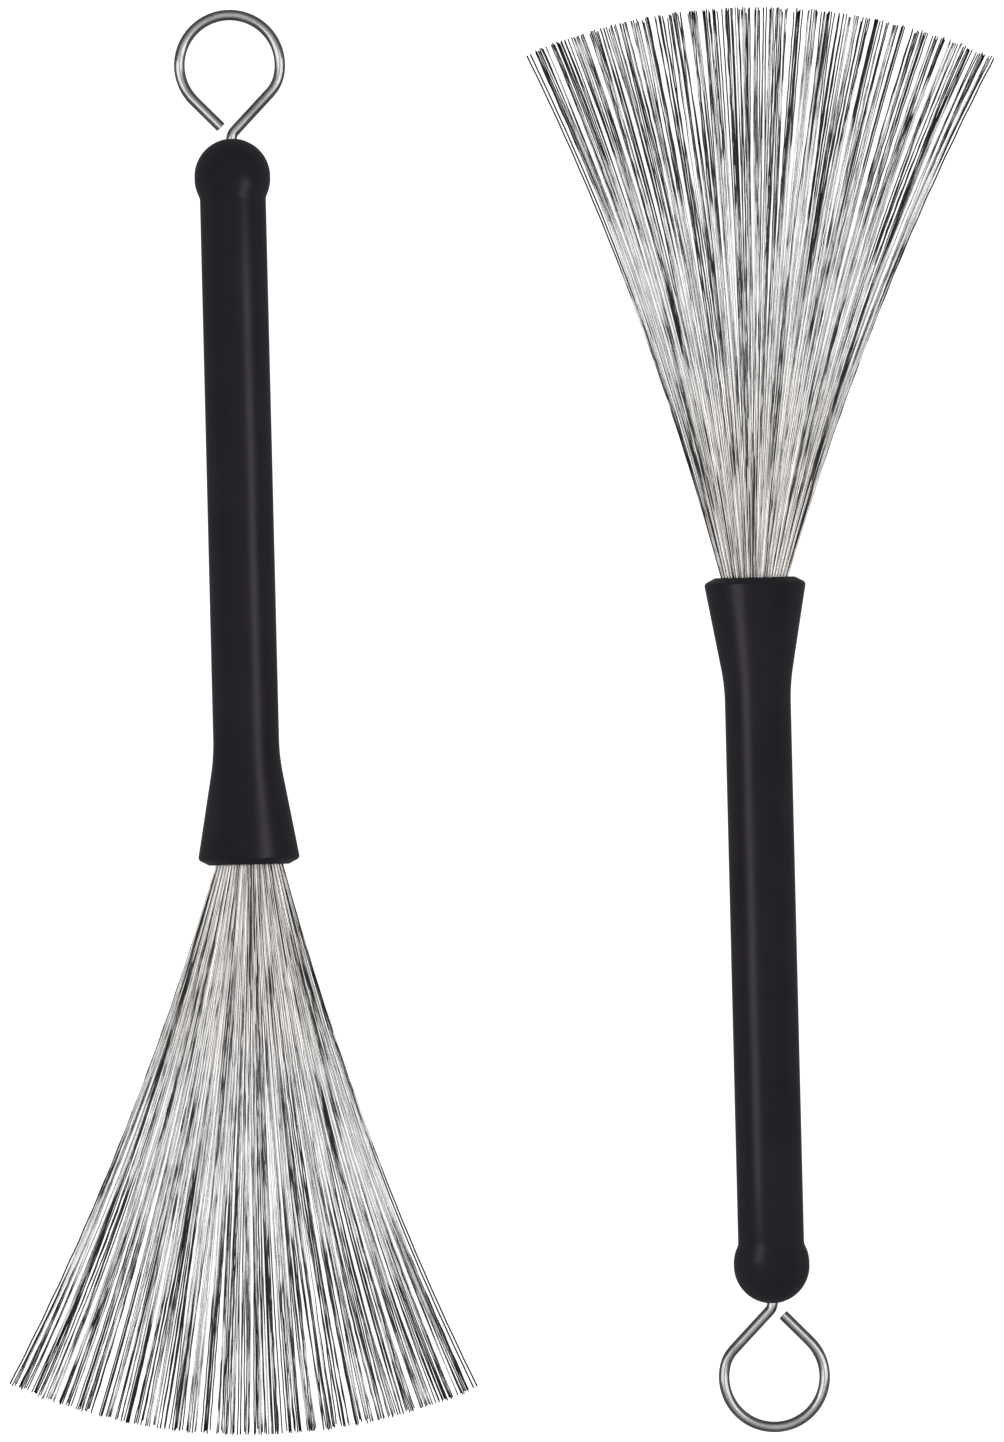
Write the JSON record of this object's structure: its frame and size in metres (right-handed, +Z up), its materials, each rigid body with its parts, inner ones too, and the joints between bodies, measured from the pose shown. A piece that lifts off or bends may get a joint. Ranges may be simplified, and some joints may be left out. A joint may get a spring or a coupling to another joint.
{
  "type": "retractable wire drum brushes",
  "caption": "Pair of wire drum brushes with rubber sleeved handles and looped pull rods that draw the fans of wires into the handles.",
  "frame": {"origin": "middle of the pair, on the surface that the brushes lie on", "axes": "+Z up from that surface, +Y along both handles from the left brush's mouth to its loop, +X from the left brush to the right brush"},
  "size_m": [0.2366, 0.3326, 0.0234],
  "materials": {
    "sleeve_rubber": "smooth satin",
    "tube_metal": "drawn, satin",
    "nylon": "turned, satin",
    "ring_rubber": "matte",
    "washer_steel": "zinc plated",
    "brass": "turned",
    "rod_steel": "bright drawn, lightly scratched",
    "wire_steel": "bright drawn wire"
  },
  "bodies": {
    "left_handle": {"left_grip": "sleeve_rubber", "left_handle_tube": "tube_metal", "left_rear_bush": "nylon", "left_friction_ring": "ring_rubber", "left_ring_washer": "washer_steel"},
    "left_piston": {"left_guide_piston": "nylon"},
    "left_rod": {"left_stop_collar": "brass", "left_pull_rod": "rod_steel", "left_wire_clamp": "brass", "left_wires": "wire_steel"},
    "right_handle": {"right_grip": "sleeve_rubber", "right_handle_tube": "tube_metal", "right_rear_bush": "nylon", "right_friction_ring": "ring_rubber", "right_ring_washer": "washer_steel"},
    "right_piston": {"right_guide_piston": "nylon"},
    "right_rod": {"right_stop_collar": "brass", "right_pull_rod": "rod_steel", "right_wire_clamp": "brass", "right_wires": "wire_steel"}
  },
  "joints": [
    {"name": "right_brush_slide", "type": "slide", "parent": "left_handle", "child": "right_handle", "axis": [1, 0, 0], "range_m": [0, 0.1]},
    {"name": "left_rod_slide", "type": "slide", "parent": "left_handle", "child": "left_piston", "axis": [0, 0.9998, -0.0184], "range_m": [0, 0.126], "deforming": ["left_wires"]},
    {"name": "left_rod_swivel", "type": "hinge", "parent": "left_piston", "child": "left_rod", "pos_m": [-0.0593, 0.05641, 0.01011], "axis": [0, -0.9998, 0.0184], "continuous": true},
    {"name": "right_rod_slide", "type": "slide", "parent": "right_handle", "child": "right_piston", "axis": [0, -0.9998, -0.0184], "range_m": [0, 0.126], "deforming": ["right_wires"]},
    {"name": "right_rod_swivel", "type": "hinge", "parent": "right_piston", "child": "right_rod", "pos_m": [0.0593, -0.05641, 0.01011], "axis": [0, 0.9998, 0.0184], "continuous": true}
  ]
}
